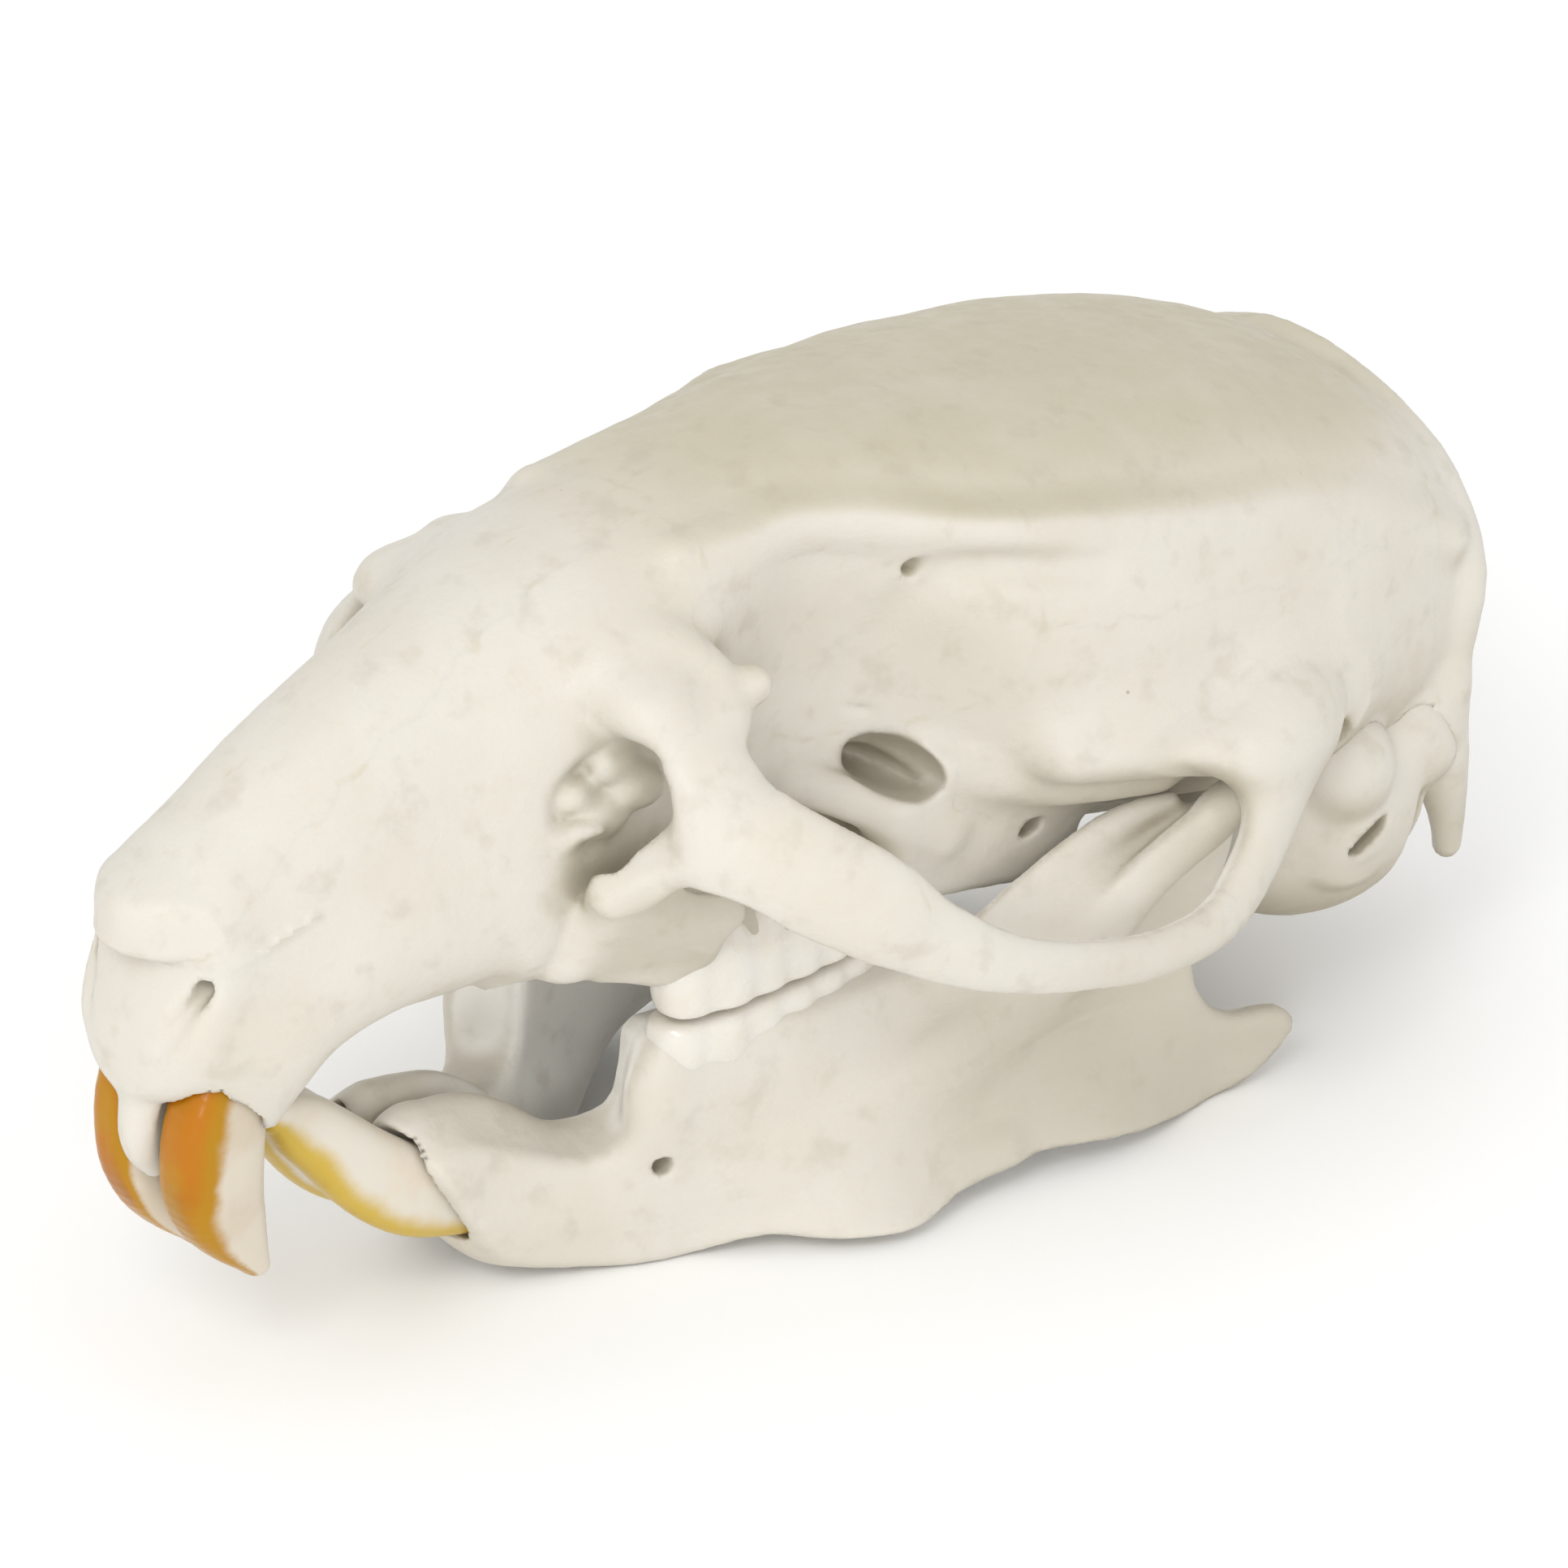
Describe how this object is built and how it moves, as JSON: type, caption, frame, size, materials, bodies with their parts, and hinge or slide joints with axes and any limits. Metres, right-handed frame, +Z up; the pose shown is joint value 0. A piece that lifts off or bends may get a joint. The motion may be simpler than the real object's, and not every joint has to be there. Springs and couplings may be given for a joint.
{
  "type": "rat skull",
  "caption": "Cleaned skull of an adult brown rat with the lower jaw closed, orange gnawing teeth and molars, resting on the lower edges of the jaw.",
  "frame": {"origin": "centre of the skull's outline at the level of the surface it rests on", "axes": "+X from the nose to the back of the head, +Y to the animal's right side, +Z up"},
  "size_m": [0.0474, 0.0246, 0.0222],
  "materials": {
    "skull_bone": "dry ivory bone, satin",
    "jaw_bone": "dry ivory bone, satin",
    "orange_enamel": "deep orange tooth enamel",
    "yellow_enamel": "yellow tooth enamel"
  },
  "bodies": {
    "root": {"nasal_bones": "skull_bone", "premaxilla": "skull_bone", "cheekbone_left": "skull_bone", "cheekbone_right": "skull_bone", "frontal_bones": "skull_bone", "parietal_bones": "skull_bone", "interparietal_bone": "skull_bone", "occipital_bone": "skull_bone", "squamosal_left": "skull_bone", "squamosal_right": "skull_bone", "maxilla_left": "skull_bone", "maxilla_right": "skull_bone", "sphenoid_bones": "skull_bone", "ear_capsule_left": "skull_bone", "ear_capsule_right": "skull_bone", "mandible_left": "jaw_bone", "mandible_right": "jaw_bone", "upper_incisor_left": "orange_enamel", "upper_incisor_right": "orange_enamel", "lower_incisor_left": "yellow_enamel", "lower_incisor_right": "yellow_enamel"}
  },
  "joints": []
}
